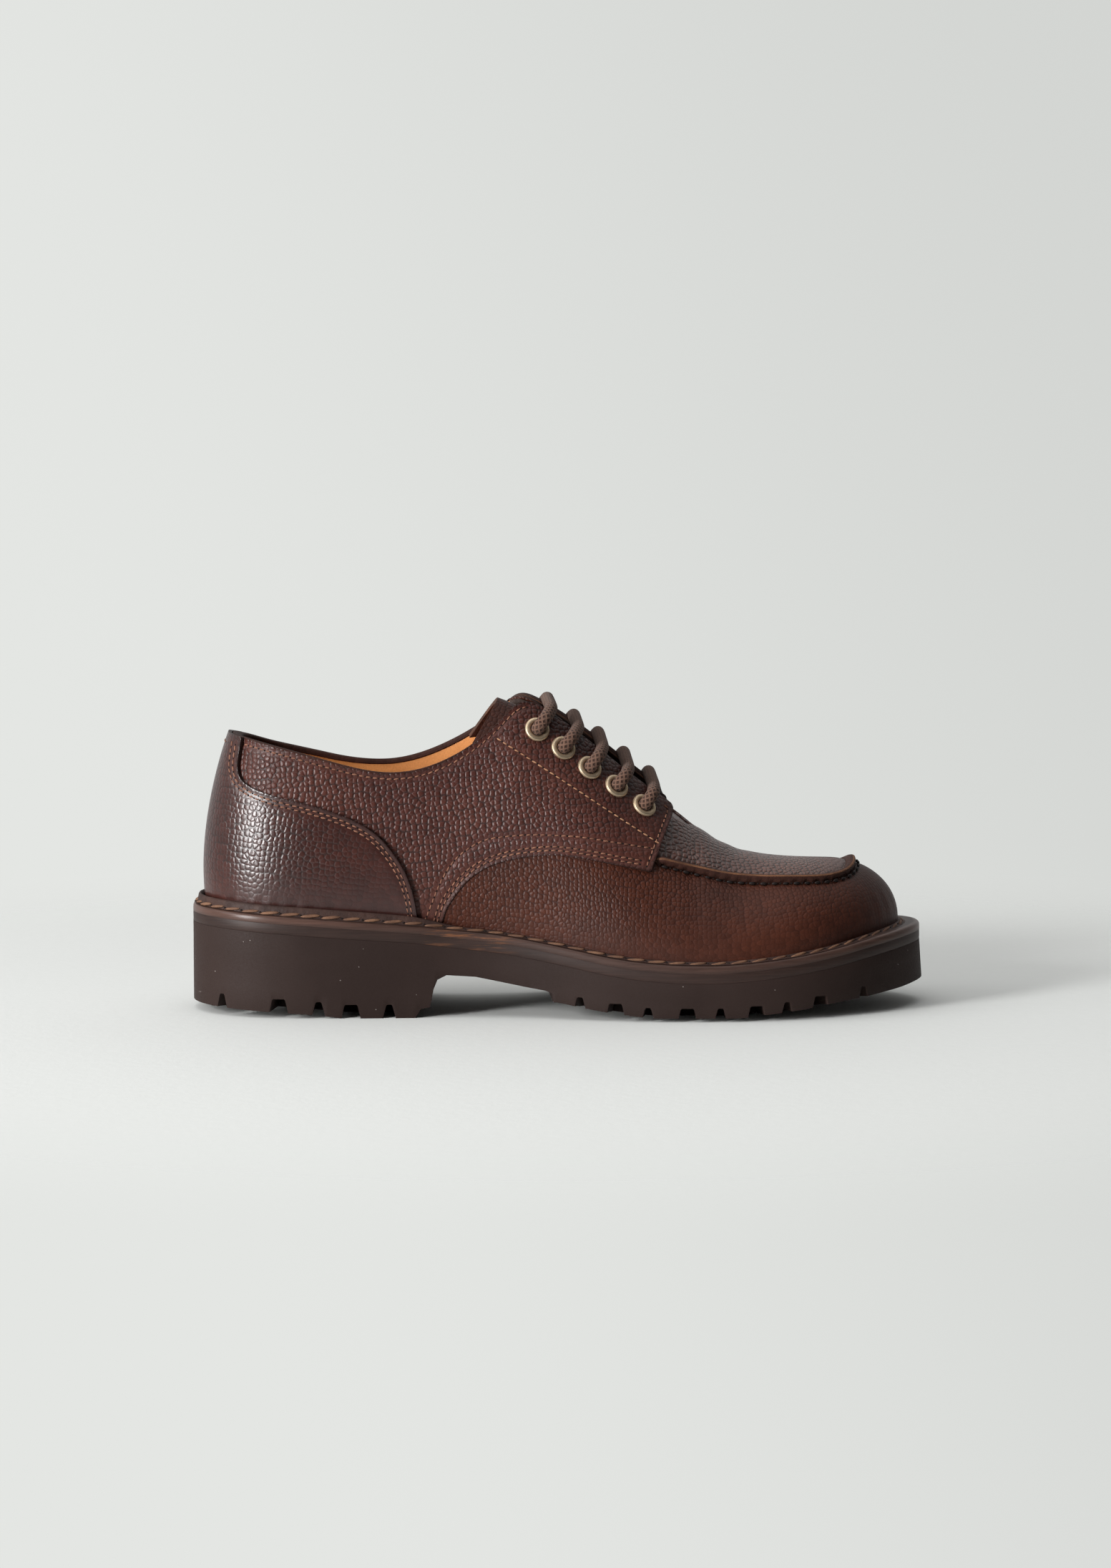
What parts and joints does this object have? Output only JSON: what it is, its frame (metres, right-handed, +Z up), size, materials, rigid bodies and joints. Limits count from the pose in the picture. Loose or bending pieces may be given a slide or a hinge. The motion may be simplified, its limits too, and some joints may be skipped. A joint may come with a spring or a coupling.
{
  "type": "derby shoe",
  "caption": "Lace-up leather derby shoe with a raised apron seam, open facings over a tongue and a cleated rubber sole; it is worn on the right foot and stands on its heel and forefoot.",
  "frame": {"origin": "middle of the sole's outline, on the floor the shoe stands on", "axes": "+X towards the toe, -Y towards the little-toe side, +Z up"},
  "size_m": [0.2822, 0.1012, 0.1228],
  "materials": {
    "grain_leather": "pebble grain, waxed",
    "welt_leather": "smooth, burnished",
    "lining_leather": "smooth, undyed",
    "rubber": "matte",
    "eyelet_brass": "antiqued",
    "lace_cotton": "waxed cord"
  },
  "bodies": {
    "root": {"outsole": "rubber", "midsole": "welt_leather", "welt": "welt_leather", "insole": "lining_leather", "upper": "grain_leather", "quarter_lateral": "grain_leather", "quarter_medial": "grain_leather", "counter": "grain_leather", "apron_seam": "grain_leather", "tongue": "grain_leather", "eyelet_lat_1": "eyelet_brass", "eyelet_lat_2": "eyelet_brass", "eyelet_lat_3": "eyelet_brass", "eyelet_lat_4": "eyelet_brass", "eyelet_lat_5": "eyelet_brass", "eyelet_med_1": "eyelet_brass", "eyelet_med_2": "eyelet_brass", "eyelet_med_3": "eyelet_brass", "eyelet_med_4": "eyelet_brass", "eyelet_med_5": "eyelet_brass", "lace_bar_1": "lace_cotton", "lace_bar_2": "lace_cotton", "lace_bar_3": "lace_cotton", "lace_bar_4": "lace_cotton", "lace_bar_5": "lace_cotton"}
  },
  "joints": []
}
